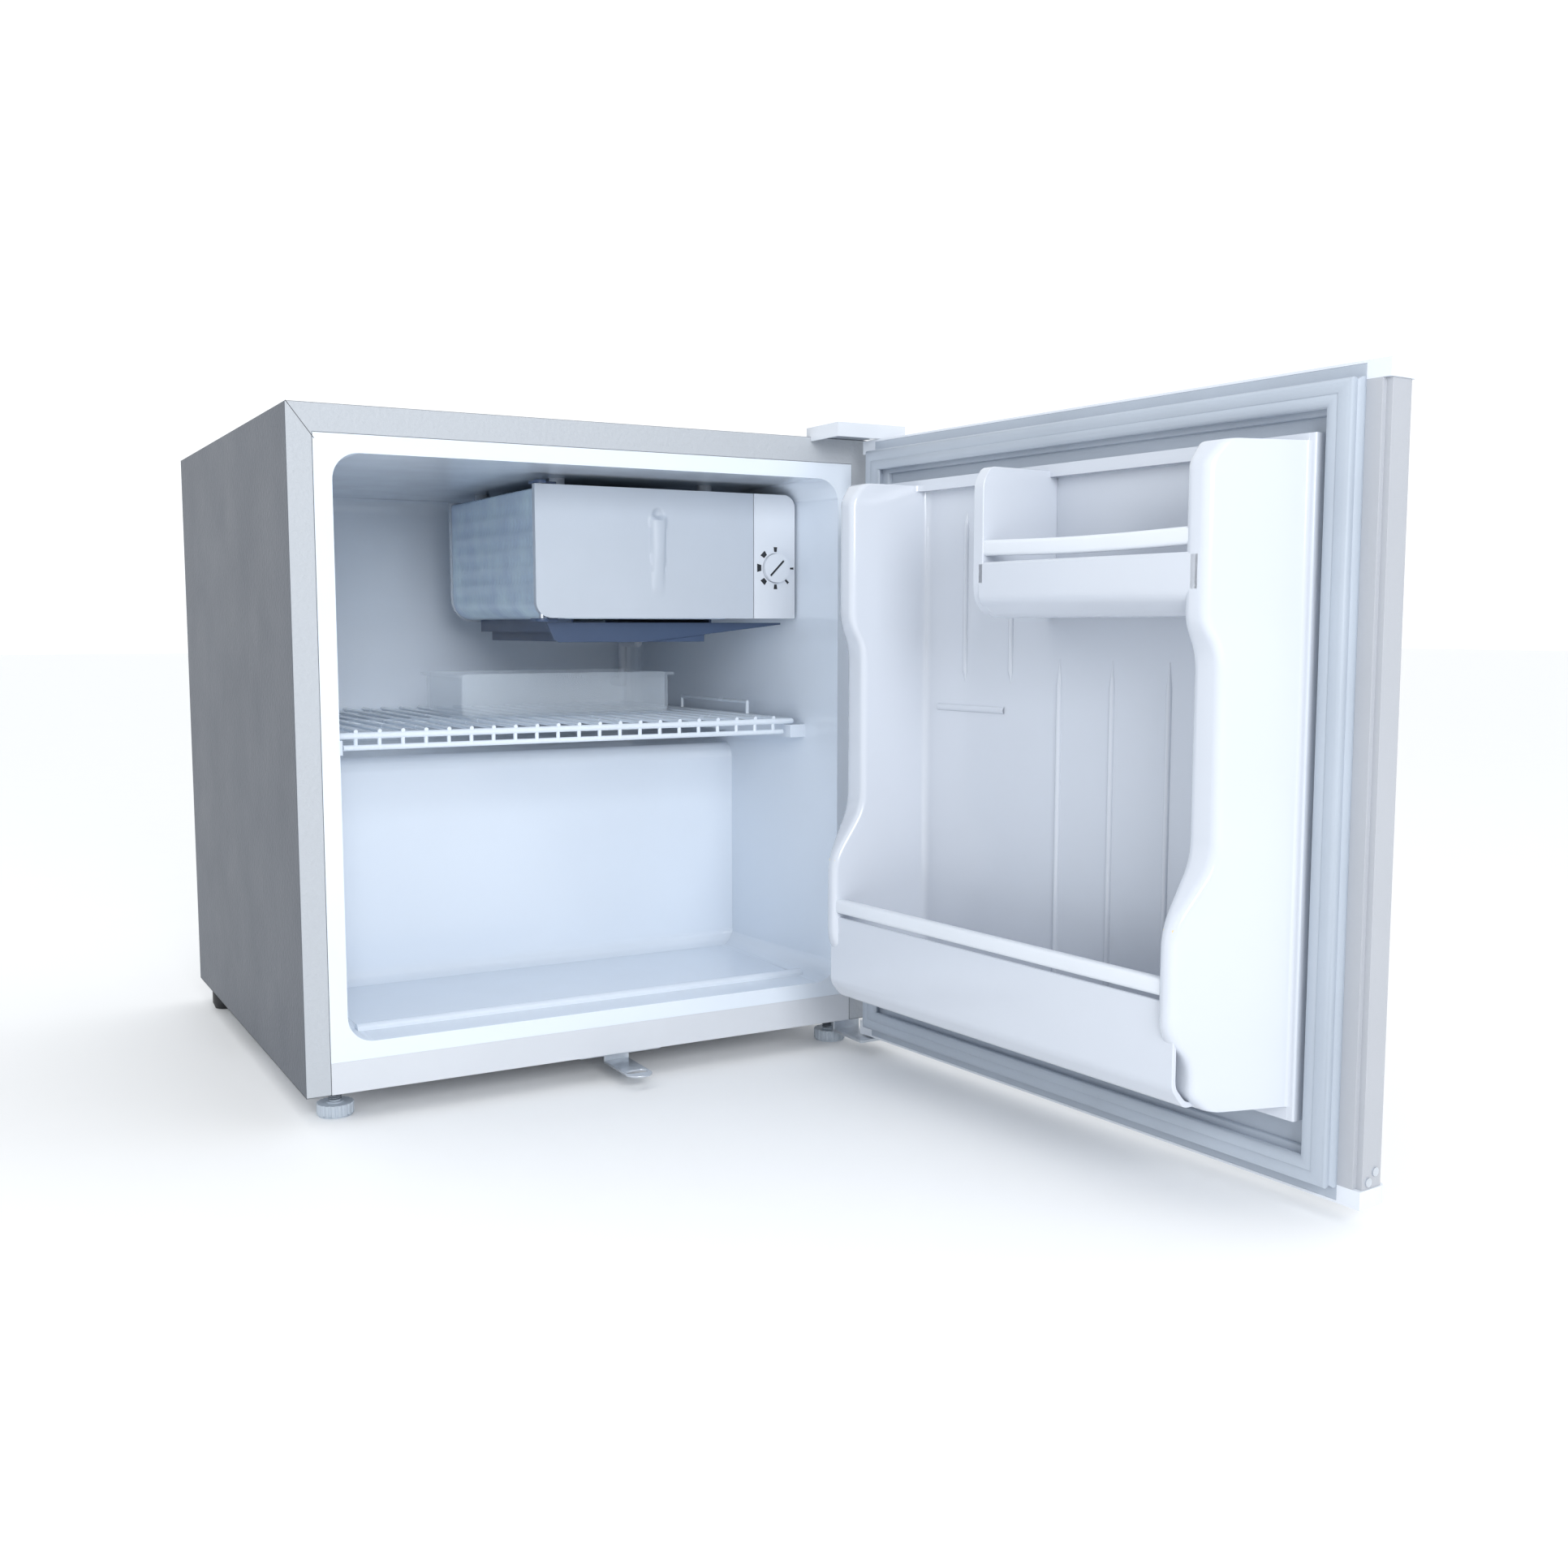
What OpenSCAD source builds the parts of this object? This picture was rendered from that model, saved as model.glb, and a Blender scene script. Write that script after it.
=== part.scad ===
// Compact single-door refrigerator with a freezer box, a wire shelf and a racked door.
// Every part is drawn in the cabinet's own coordinates (front bottom left corner of the
// body, X right, Y to the back, Z up, door shut) and placed by the Hidden section.

/* [Cabinet] */
// Width of the cabinet body
cab_w = 446; // [440:1:456]
// Depth of the cabinet body without the door
cab_d = 418; // [412:1:430]
// Height of the cabinet body without its feet
cab_h = 460; // [456:1:470]
// Height that the feet lift the body
foot_h = 20; // [18:1:24]
// Width of the plain wall around the mouth at the sides
wall_side = 29; // [28:1:32]
// Height of the mouth's lower edge above the body's underside
wall_floor = 34; // [32:1:36]
// Thickness of the ceiling
wall_top = 31; // [30:1:33]
// Thickness of the back wall
wall_back = 46; // [44:1:50]

/* [Compressor step] */
// Depth of the cold space in front of the compressor step
step_y = 175; // [170:1:180]
// Height of the step's top
step_z = 213; // [206:1:215]
// Insulation between the step and the compressor space
step_wall = 38; // [34:1:40]

/* [Door] */
// Angle that the door stands open in the stored pose
door_open = 94.6; // [90:0.1:100]
// Thickness of the door's outer pan
door_t = 23; // [22:1:25]
// Space between the cabinet and the pan when shut
door_gap = 12; // [12:1:13]
// Overhang of the door past each side of the cabinet
door_over = 4; // [3:1:4]
// Depth of the door liner's side walls at the upper pocket
crest_up = 56; // [54:1:56]
// Depth of the side walls between the racks
crest_mid = 46; // [44:1:46]
// Depth of the side walls at the bottle rack
crest_low = 70; // [68:1:72]

/* [Freezer box] */
// Front of the freezer flap, from the cabinet's front
flap_y = 62; // [62:1:66]
// Left side of the evaporator box
evap_x = 205; // [200:1:208]
// Underside of the evaporator box
evap_z = 322; // [321:1:323]
// Back end of the evaporator box
evap_back = 300; // [290:1:310]

/* [Shelf] */
// Height of the shelf's side bars above the body's underside
shelf_z = 239; // [238:1:240]
// Number of wires that run front to back
shelf_wires = 21; // [17:1:23]

/* [Hidden] */
$fn = 48;

steel_t = 1;          // sheet steel
liner_t = 2;          // moulded liner
gap = 0.3;            // room between parts that move past each other
run = 0.05;           // radial clearance of a pin in its bush
far = 60;             // overshoot of a cutting shape

// mouth and cold space
mouth = [wall_side, wall_floor, cab_w - wall_side, cab_h - wall_top];
back_y = cab_d - wall_back;
flange = 17;          // steel front flange beside the liner's lip
ledge_x = 43;         // shelf ledges: reach from the side, and start behind the door's walls
ledge_y = 50;
bay_y = step_y + step_wall + 1;
bay_z = step_z - step_wall;

// door, shut
pin = [cab_w - 3, -29];
pin_r = 3;
bush_r = 5.5;
door_x = [-door_over, cab_w + door_over];
door_y = [-door_gap - door_t, -door_gap];
cap_t = 10.5;
cap_z = [-5.5, 456];
cap_proud = 1;
cap_r = 5;
pan_z = [cap_z[0] + cap_t, cap_z[1] - cap_t + 0.5];
edge_step = [4, 3];   // width and depth of the step along the pan's edges
flange_in = 10;       // edge of the liner's flange, from the cabinet's sides
flange_z = [cap_z[0] + 1.5, cap_z[1] - 1.5];
gasket_out = [10.5, 3.5, cab_w - 10.5, cab_h - 12.5];
gasket_w = [20.8, 18.5];   // width of its upright and of its level members
slab = [32, 37, cab_w - 32, cab_h - 40];
draft = 0.357;        // lean of the side walls, mm per mm
wall_w = 42;          // width of a side wall at its root
crest_w = 8;          // and at its crest
wall_z = [45, 416];    // ends of the side walls
recess_y = -8;        // back of the door liner between the side walls
recess_side = 34;     // plain border of the slab beside and above its recess
recess_top = 8;
pocket_x = 245;       // free end of the upper pocket
pocket_z = [321, 356];
rack_z = [47, 108];

// freezer box and thermostat
evap_w = 167;
evap_h = 99;
evap_t = 1.6;
evap_x1 = evap_x + evap_w;
evap_y = flap_y + 14;
flap_t = 6;
flap_x = [evap_x - 13, evap_x + 171];
flap_z = [evap_z, evap_z + evap_h];
flap_pin = [flap_x[0] + 5, flap_y + flap_t / 2];
flap_pin_r = 2;
pin_depth = 8;        // how far a flap pin reaches into the flap
ear_t = 2.5;          // ears that hold the flap's pins
ear_z = [[flap_z[0] - gap - ear_t, flap_z[0] - gap], [flap_z[1] + gap, flap_z[1] + gap + ear_t]];
frame_t = 4;
dial = [396, 362.4];
dial_r = 11.5;

// lock in the door's lower edge
lock_x = 231;
lock_z = 20;
bolt_y = -24;
bolt = [3, 2];        // half width and half depth of the lock bolt
barrel_r = 8;

// screws, feet and shafts
hole_r = 2.1;         // clearance hole of the small screws
screw_r = 2;
head_r = 4;
cap_screw_x = [12, 120, 330];
cap_screw_y = -24;
edge_screws = [[-26, 14], [-20, 9]];   // Y and Z on the door's free edge
edge_screw = [1.5, 2.6, 8];            // radius of shank and head, length
foot_at = [[24, 22], [cab_w - 22, 22]];
nut_h = 13;
nut_r = 8;
stem_r = 4;
shaft_r = 3;

// pipes: radii, and the hole for the cord
coil_r = 2.4;
suction_r = 3;
gland_x = 80;
gland_z = 13;
gland_r = 7;

// whole object in its stored pose: the origin is the centre of its footprint
function swing(p) = [pin[0] + cos(door_open) * (p[0] - pin[0]) - sin(door_open) * (p[1] - pin[1]),
                     pin[1] + sin(door_open) * (p[0] - pin[0]) + cos(door_open) * (p[1] - pin[1])];
gland_y = cab_d + 6;
far_x = swing([door_x[0] - cap_proud + cap_r, door_y[0] - cap_proud + cap_r])[0] + cap_r;
near_y = swing([door_x[0] - cap_proud, door_y[1]])[1];
centre = [far_x / 2, (gland_y + near_y) / 2];

// ---------- helpers ----------
function arc(c, r, a0, a1, n = 6) =
    [for (i = [0:n]) let (a = a0 + (a1 - a0) * i / n) [c[0] + r * cos(a), c[1] + r * sin(a)]];

module place() { translate([-centre[0], -centre[1], foot_h]) children(); }

module rotate_about(p, a) {
    translate([p[0], p[1], 0]) rotate([0, 0, a]) translate([-p[0], -p[1], 0]) children();
}

module door_pose() { place() rotate_about(pin, door_open) children(); }

module box(x, y, z) { translate([x[0], y[0], z[0]]) cube([x[1] - x[0], y[1] - y[0], z[1] - z[0]]); }

// flat shape drawn in Y and Z, run along X
module along_x(x) { translate([x[0], 0, 0]) rotate([90, 0, 90]) linear_extrude(x[1] - x[0]) children(); }

// flat shape drawn in X and Z, run along Y
module along_y(y) { translate([0, y[1], 0]) rotate([90, 0, 0]) linear_extrude(y[1] - y[0]) children(); }

// rectangle from low to high corner with true round corners
module rrect(lo, hi, r) {
    translate([lo[0] + r, lo[1]]) square([hi[0] - lo[0] - 2 * r, hi[1] - lo[1]]);
    translate([lo[0], lo[1] + r]) square([hi[0] - lo[0], hi[1] - lo[1] - 2 * r]);
    for (x = [lo[0] + r, hi[0] - r], z = [lo[1] + r, hi[1] - r]) translate([x, z]) circle(r);
}

module rod_x(x, y, z, r) { translate([x[0], y, z]) rotate([0, 90, 0]) cylinder(r = r, h = x[1] - x[0]); }
module rod_y(x, y, z, r) { translate([x, y[0], z]) rotate([-90, 0, 0]) cylinder(r = r, h = y[1] - y[0]); }
module rod_z(x, y, z, r) { translate([x, y, z[0]]) cylinder(r = r, h = z[1] - z[0]); }

// round bar through a list of points, with ball joints at the inner ones
module tube(points, r) {
    for (i = [0:len(points) - 2]) {
        d = points[i + 1] - points[i];
        len = norm(d);
        translate(points[i]) rotate([0, acos(d[2] / len), atan2(d[1], d[0])])
            cylinder(r = r, h = len, $fn = 24);
        if (i > 0) translate(points[i]) sphere(r = r, $fn = 24);
    }
}

// ---------- cold space ----------
// grown outwards by g: 0 is the liner's inner face, liner_t its outer face
module cold_space(g) {
    edge_r = 12 - g;
    intersection() {
        along_y([-far, cab_d]) rrect([mouth[0] - g, mouth[1] - g], [mouth[2] + g, mouth[3] + g], 18 + g);
        along_x([0, cab_w]) union() {
            rrect([-far, step_z - g], [back_y + g, mouth[3] + g + 1], 14 + g);
            rrect([-far, mouth[1] - g - 1], [step_y + g, mouth[3] + g + 1], 14 + g);
            difference() {
                translate([step_y + g - 1, step_z - g - edge_r]) square([edge_r + 1, edge_r + 1]);
                translate([step_y + g + edge_r, step_z - g - edge_r]) circle(edge_r);
            }
        }
        linear_extrude(cab_h) polygon(concat(
            [[mouth[0] - g, -far], [mouth[2] + g, -far], [mouth[2] + g, 0]],
            arc([mouth[2] - 20, back_y - 16], 16 + g, 0, 90),
            arc([mouth[0] + 20, back_y - 16], 16 + g, 90, 180),
            [[mouth[0] - g, 0]]));
    }
}

// ---------- cabinet ----------
module cabinet_wrap() {
    color("gainsboro") place() {
        box([0, steel_t], [0, cab_d], [0, cab_h]);
        box([cab_w - steel_t, cab_w], [0, cab_d], [0, cab_h]);
        box([0, cab_w], [0, cab_d], [cab_h - steel_t, cab_h]);
        for (x = [[0, flange], [cab_w - flange, cab_w]]) box(x, [0, steel_t], [0, cab_h]);
        box([0, cab_w], [0, steel_t], [cab_h - flange - 2, cab_h]);
    }
}

module bottom_panel() {
    lip_h = 22;
    color("gainsboro") place() difference() {
        union() {
            box([steel_t, cab_w - steel_t], [steel_t, bay_y + 1], [0, steel_t]);
            box([flange, cab_w - flange], [0, steel_t], [0, lip_h]);
        }
        for (p = foot_at) rod_z(p[0], p[1], [-1, 2 * steel_t], stem_r + 0.5);
    }
}

module rear_panel() {
    color("silver") place() difference() {
        box([steel_t, cab_w - steel_t], [bay_y, cab_d], [steel_t, cab_h - steel_t]);
        box([0, cab_w], [bay_y - 1, cab_d - steel_t], [bay_z, cab_h]);
        box([0, cab_w], [bay_y + steel_t, cab_d + 1], [0, bay_z - steel_t]);
    }
}

module base_rail() {
    plate_t = 2;
    color("dimgray") place() difference() {
        union() {
            box([steel_t, cab_w - steel_t], [bay_y + 1, cab_d], [0, plate_t]);
            box([steel_t, cab_w - steel_t], [cab_d - plate_t, cab_d], [0, foot_z[0]]);
        }
        rod_y(gland_x, [cab_d - plate_t - 1, cab_d + 1], gland_z, gland_r);
    }
}

module foam_form() {
    difference() {
        box([steel_t, cab_w - steel_t], [liner_t, cab_d - steel_t], [steel_t, cab_h - steel_t]);
        box([0, cab_w], [bay_y, cab_d], [0, bay_z]);
        cold_space(liner_t);
        for (p = foot_at) rod_z(p[0], p[1], [0, steel_t + nut_h], nut_r);
    }
}

module cabinet_foam() { color("khaki") place() foam_form(); }

module inner_liner() {
    sill_y = 34;
    sill_r = 4.5;
    color("white") place() {
        difference() {
            cold_space(liner_t);
            cold_space(0);
            box([0, cab_w], [-far - 1, 0], [0, cab_h]);
        }
        along_y([0, liner_t]) difference() {
            translate([flange, 22]) square([cab_w - 2 * flange, cab_h - flange - 24]);
            rrect([mouth[0], mouth[1]], [mouth[2], mouth[3]], 18);
        }
        // sill ridge and the two shelf ledges
        along_x([mouth[0] + 14, mouth[2] - 14]) polygon(concat([[sill_y - 8, mouth[1] - 1]],
            arc([sill_y, mouth[1]], sill_r, 180, 0, 8), [[sill_y + 8, mouth[1] - 1]]));
        intersection() {
            for (x = [[0, ledge_x], [cab_w - ledge_x, cab_w]])
                box(x, [ledge_y, back_y - 20], [shelf_z - 13, shelf_z - 2.8]);
            cold_space(1);
        }
    }
}

// serpentine against the inside of one side panel
module coil_side(x) {
    pitch = 44;
    runs = 8;
    z = [220, 430];
    ys = [for (i = [0:runs - 1]) 40 + i * pitch];
    for (y = ys) rod_z(x, y, z, coil_r);
    for (i = [0:runs - 2]) translate([x, ys[i] + pitch / 2, i % 2 == 0 ? z[1] : z[0]])
        rotate([90, 0, 90]) rotate([0, 0, i % 2 == 0 ? 0 : 180])
            rotate_extrude(angle = 180) translate([pitch / 2, 0]) circle(coil_r, $fn = 24);
}

module condenser_coil() {
    color("peru") place() {
        coil_side(steel_t + coil_r + 0.1);
        coil_side(cab_w - steel_t - coil_r - 0.1);
    }
}

// ---------- freezer box ----------
module evap_outline(g) {
    // square top corners, round lower corners
    rrect([evap_x - g, evap_z - g], [evap_x1 + g, evap_z + evap_h + g], 18 + g);
    translate([evap_x - g, evap_z + evap_h / 2]) square([evap_w + 2 * g, evap_h / 2 + g]);
}

function hang_points() = [for (x = [evap_x + 20, evap_x1 - 20], y = [evap_y + 26, evap_back - 22]) [x, y]];

module evaporator() {
    color("lightsteelblue") place() difference() {
        along_y([evap_y, evap_back]) difference() {
            evap_outline(0);
            evap_outline(-evap_t);
        }
        for (p = hang_points()) rod_z(p[0], p[1], [evap_z + 50, cab_h], hole_r);
    }
}

module freezer_back_plate() {
    rim = 2.5;
    color("white") place() along_y([evap_back, evap_back + 2]) evap_outline(rim);
}

module freezer_frame() {
    ear_r = 5;
    riser = 8;
    color("slategray") place() {
        along_y([evap_y - frame_t, evap_y]) difference() {
            translate([evap_x, flap_z[0]]) square([evap_w + 2, evap_h]);
            rrect([evap_x + 6, evap_z + 7], [evap_x1 - 6, flap_z[1] - 6], 10);
        }
        // ears that carry the flap's pins above and below it
        for (z = ear_z) difference() {
            union() {
                box([flap_pin[0] - ear_r, flap_pin[0] + ear_r], [flap_pin[1], evap_y], z);
                box([flap_pin[0], evap_x + riser], [evap_y - frame_t, evap_y], z);
                rod_z(flap_pin[0], flap_pin[1], z, ear_r);
            }
            rod_z(flap_pin[0], flap_pin[1], [z[0] - 1, z[1] + 1], flap_pin_r + run);
        }
        for (z = [[ear_z[0][0], flap_z[0] + 4], [flap_z[1] - 4, ear_z[1][1]]])
            box([evap_x, evap_x + riser], [evap_y - frame_t, evap_y], z);
    }
}

module evaporator_hangers() {
    color("white") place() for (p = hang_points()) difference() {
        rod_z(p[0], p[1], [evap_z + evap_h, mouth[3]], 6);
        rod_z(p[0], p[1], [evap_z, cab_h], hole_r);
    }
}

module evaporator_screws() {
    under = evap_z + evap_h - evap_t;
    color("silver") place() for (p = hang_points()) {
        rod_z(p[0], p[1], [under - 2, under], head_r);
        rod_z(p[0], p[1], [under - 0.1, mouth[3]], screw_r);
    }
}

module housing_outline(g) {
    lo = [evap_x1 + 4.5 - g, flap_z[0] - g];
    hi = [cab_w - wall_side - 3 + g, flap_z[1] + g];
    rrect(lo, hi, 10 + g);
    translate(lo) square([20, hi[1] - lo[1]]);
    translate(lo) square([hi[0] - lo[0], 30]);
}

module thermostat_housing() {
    wall = 2.5;
    depth = 88;
    color("white") place() difference() {
        along_y([flap_y, flap_y + depth]) housing_outline(0);
        along_y([flap_y + wall, flap_y + depth + 1]) housing_outline(-wall);
        rod_y(dial[0], [flap_y - 1, flap_y + wall + 1], dial[1], dial_r + gap);
    }
}

// case with a mounting tab bent forward from its lower edge
module thermostat_body() {
    y0 = flap_y + 10;
    low = dial[1] - 22;
    color("silver") place() difference() {
        union() {
            box([dial[0] - 14, dial[0] + 14], [y0, y0 + 34], [low, low + 44]);
            box([dial[0] - 17, dial[0] + 15.5], [y0 - 7.5, y0 - 6], [low - 4, low + 2]);
            box([dial[0] - 11, dial[0] + 11], [y0 - 7.5, y0], [low, low + 2]);
        }
        rod_y(dial[0], [y0 - 1, y0 + 12], dial[1], shaft_r + run);
    }
}

// capillary from the thermostat to a bulb beside the freezer box
module sensing_tube() {
    y0 = flap_y + 44;
    x1 = evap_x1 + 3;
    z = 368;
    color("peru") place() {
        tube([[dial[0], y0, z], [dial[0], y0 + 56, z], [x1, y0 + 56, z], [x1, y0 + 70, z]], 1.3);
        rod_y(x1, [y0 + 70, y0 + 130], z, 3);
    }
}

module refrigerant_line() {
    x = [350, 388];
    y = [evap_back + 2, evap_back + 14, evap_back + 50, back_y];
    z = [345, 300, 262];
    color("white") place() tube([[x[0], y[0], z[0]], [x[0], y[1], z[0]], [x[1], y[1], z[0]],
        [x[1], y[1], z[1]], [x[1], y[2], z[1]], [x[1], y[2], z[2]], [x[1], y[3], z[2]]], 4);
}

module drip_tray_rails() {
    half = 60.5;
    t = 2;
    hook = 7.5;
    low = evap_z - 11;
    y = [evap_y + 8, evap_back - 4];
    color("slategray") place() for (s = [0, 1]) translate([evap_x + evap_w / 2, 0, 0]) mirror([s, 0, 0]) {
        box([half - t, half], y, [low, evap_z]);
        box([half - hook, half], y, [low, low + t]);
    }
}

// ---------- compressor space ----------
comp = [150, 318];
comp_r = 60;
comp_z = [56, 98];    // straight part of the shell between its domes
foot_z = [24, 27];
drier = [250, cab_d - 22, 12];
stud_at = [for (x = [-62, 62], y = [-55, 55]) [comp[0] + x, comp[1] + y]];

module compressor_form() {
    dome = 70;
    rise = sqrt(dome * dome - comp_r * comp_r);
    weld_z = [72, 78];
    // each ball is centred so that it meets the straight part's end at comp_r
    intersection() {
        rod_z(comp[0], comp[1], [comp_z[0] - dome, comp_z[1] + dome], comp_r);
        translate([comp[0], comp[1], comp_z[1] - rise]) sphere(r = dome, $fn = 96);
        translate([comp[0], comp[1], comp_z[0] + rise]) sphere(r = dome, $fn = 96);
    }
    rod_z(comp[0], comp[1], weld_z, comp_r + 2);
}

module compressor_shell() { color([0.12, 0.12, 0.13]) place() compressor_form(); }

module compressor_feet() {
    plate = [75, 68];
    rib_x = 40;
    color([0.15, 0.15, 0.16]) place() difference() {
        union() {
            box([comp[0] - plate[0], comp[0] + plate[0]], [comp[1] - plate[1], comp[1] + plate[1]], foot_z);
            for (s = [-1, 1]) box([comp[0] + s * rib_x - 2, comp[0] + s * rib_x + 2],
                [comp[1] - plate[1] / 2, comp[1] + plate[1] / 2], [foot_z[0], 50]);
        }
        compressor_form();
        for (p = stud_at) rod_z(p[0], p[1], [0, foot_z[1] + 1], 4);
    }
}

module compressor_grommets() {
    color([0.1, 0.1, 0.1]) place() for (p = stud_at) difference() {
        union() {
            rod_z(p[0], p[1], [2, 9], 10);
            rod_z(p[0], p[1], [8, foot_z[0]], 8);
        }
        rod_z(p[0], p[1], [1, foot_z[0] + 1], 3.5);
    }
}

module compressor_studs() {
    color("silver") place() for (p = stud_at) {
        rod_z(p[0], p[1], [2, foot_z[1] + 8], 3);
        translate([p[0], p[1], foot_z[1]]) cylinder(r = 6, h = 5, $fn = 6);
    }
}

module terminal_cover() {
    color([0.1, 0.1, 0.1]) place() difference() {
        box([comp[0] + 40, comp[0] + 82], [comp[1] - 26, comp[1] + 26], [48, 104]);
        compressor_form();
    }
}

module compressor_pipes() {
    top = [146, 156];
    far_y = cab_d - 22;
    color("peru") place() difference() {
        union() {
            tube([[126, 300, 90], [126, 300, top[0]], [40, 300, top[0]], [40, far_y, top[0]],
                [40, far_y, drier[2]], drier], suction_r);
            tube([[174, 340, 90], [174, 340, top[1]], [270, 340, top[1]], [270, 340, bay_z - 1]], coil_r);
        }
        compressor_form();
    }
}

module filter_drier() {
    r = 8;
    cone = 14;
    body = 80;
    color("peru") place() translate(drier) rotate([0, 90, 0]) {
        cylinder(r1 = suction_r, r2 = r, h = cone);
        translate([0, 0, cone]) cylinder(r = r, h = body);
        translate([0, 0, cone + body]) cylinder(r1 = r, r2 = 1.5, h = cone);
    }
}

module cord_gland() {
    color([0.1, 0.1, 0.1]) place() difference() {
        union() {
            rod_y(gland_x, [cab_d - 10, cab_d + 3], gland_z, gland_r);
            rod_y(gland_x, [cab_d, gland_y], gland_z, gland_r + 2.5);
        }
        rod_y(gland_x, [cab_d - 11, gland_y + 1], gland_z, 3.6);
    }
}

// ---------- lock strike and hinges ----------
strike_x = [207, 254];

// plate under the front edge with a tongue that reaches below the door's lock
module strike_plate() {
    t = 1.5;
    drop = -9.5;
    end_r = 10;
    slot_r = 4;
    color("silver") place() difference() {
        union() {
            box([198, 263], [3, 28], [-t, 0]);
            along_x([lock_x - end_r, lock_x + end_r]) polygon([[bolt_y - 3, drop], [14, drop], [14, -1],
                [14 - t, -1], [14 - t, drop + t], [bolt_y - 3, drop + t]]);
            rod_z(lock_x, bolt_y - 3, [drop, drop + t], end_r);
        }
        for (x = [-slot_r, slot_r]) rod_z(lock_x + x, bolt_y, [drop - 1, drop + 3], slot_r);
        box([lock_x - slot_r, lock_x + slot_r], [bolt_y - slot_r, bolt_y + slot_r], [drop - 1, drop + 3]);
        for (x = strike_x) rod_z(x, 18, [-3, 1], hole_r);
    }
}

module strike_screws() {
    color("silver") place() for (x = strike_x) {
        rod_z(x, 18, [-3.4, -1.5], head_r);
        rod_z(x, 18, [-2, 0], screw_r);
    }
}

leaf_z = cab_h + 2.5;
upper_screw = [420, [18, 36]];
lower_screw = [434, [13, 30]];
lower_leaf = [416, 440];
rivet_r = 4.6;

module upper_hinge_bracket() {
    color("silver") place() difference() {
        union() {
            box([400, 440], [-38, 46], [cab_h, leaf_z]);
            box([400, 450], [-38, -4], [cab_h, leaf_z]);
        }
        rod_z(pin[0], pin[1], [cab_h - 1, leaf_z + 1], pin_r);
        for (y = upper_screw[1]) rod_z(upper_screw[0], y, [cab_h - 1, leaf_z + 1], hole_r);
    }
}

module upper_hinge_pin() {
    color("silver") place() {
        rod_z(pin[0], pin[1], [cap_z[1] - 9, leaf_z + 0.1], pin_r);
        rod_z(pin[0], pin[1], [leaf_z, leaf_z + 1.8], rivet_r);
    }
}

module upper_hinge_screws() {
    color("silver") place() for (y = upper_screw[1]) {
        rod_z(upper_screw[0], y, [leaf_z, leaf_z + 2], head_r);
        rod_z(upper_screw[0], y, [cab_h, leaf_z + 0.1], screw_r);
    }
}

module upper_hinge_cover() {
    top = cab_h + 7;
    x = [392, 452];
    y = [-40, 6];
    wall = 1.8;
    color("white") place() {
        difference() {
            union() {
                box(x, [y[0], -gap], [cap_z[1] + 0.6, top]);
                box(x, [-1, y[1]], [cab_h + 0.05, top]);
            }
            box([x[0] + wall, x[1] - wall], [y[0] + wall, y[1] + 1], [cab_h - 10, top - wall]);
        }
        // snap posts on the bracket
        for (px = [408, 432]) rod_z(px, -10, [leaf_z, top - 1], 3);
    }
}

module lower_hinge_bracket() {
    color("silver") place() difference() {
        union() {
            along_x(lower_leaf) polygon([[-38, -9], [4.5, -9], [4.5, -2.5], [36, -2.5], [36, 0], [2, 0],
                [2, -6.5], [-38, -6.5]]);
            box([lower_leaf[0], 450], [-38, -4], [-9, -6.5]);
        }
        rod_z(pin[0], pin[1], [-10, -5], pin_r);
        rod_z(foot_at[1][0], foot_at[1][1], [-4, 1], stem_r + 0.5);
        for (y = lower_screw[1]) rod_z(lower_screw[0], y, [-4, 1], hole_r);
    }
}

module lower_hinge_pin() {
    color("silver") place() {
        rod_z(pin[0], pin[1], [-9.1, 3], pin_r);
        rod_z(pin[0], pin[1], [-10.8, -9], rivet_r);
    }
}

module lower_hinge_screws() {
    color("silver") place() for (y = lower_screw[1]) {
        rod_z(lower_screw[0], y, [-4.4, -2.5], head_r - 0.4);
        rod_z(lower_screw[0], y, [-3, 0], screw_r);
    }
}

module hinge_washer() {
    color("white") place() difference() {
        rod_z(pin[0], pin[1], [-6.5, cap_z[0] - 0.1], 6);
        rod_z(pin[0], pin[1], [-8, -4], pin_r);
    }
}

// ---------- feet ----------
module foot_nuts() {
    color("silver") place() for (p = foot_at) difference() {
        rod_z(p[0], p[1], [steel_t, steel_t + nut_h], nut_r);
        rod_z(p[0], p[1], [0, steel_t + nut_h + 1], stem_r + run);
    }
}

module levelling_foot(p) {
    disc_r = 12.5;
    teeth = 18;
    difference() {
        union() {
            rod_z(p[0], p[1], [-foot_h, -foot_h + 1.5], disc_r - 1);
            rod_z(p[0], p[1], [-foot_h + 1.4, -foot_h + 9], disc_r);
        }
        for (i = [0:teeth - 1]) rotate_about(p, i * 360 / teeth)
            rod_z(p[0] + disc_r + 0.6, p[1], [-foot_h + 1.4, -foot_h + 10], 1.3);
    }
    rod_z(p[0], p[1], [-foot_h + 8, -foot_h + 10], 6);
    rod_z(p[0], p[1], [-foot_h + 9, 12], stem_r);
}

module foot_left() { color("whitesmoke") place() levelling_foot(foot_at[0]); }
module foot_right() { color("whitesmoke") place() levelling_foot(foot_at[1]); }

module rear_feet() {
    color([0.1, 0.1, 0.1]) place() for (x = [14, cab_w - 14]) translate([x, cab_d - 40, -foot_h]) {
        cylinder(r1 = 8.5, r2 = 10.5, h = 5);
        translate([0, 0, 5]) cylinder(r = 10.5, h = foot_h - 5);
    }
}

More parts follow.
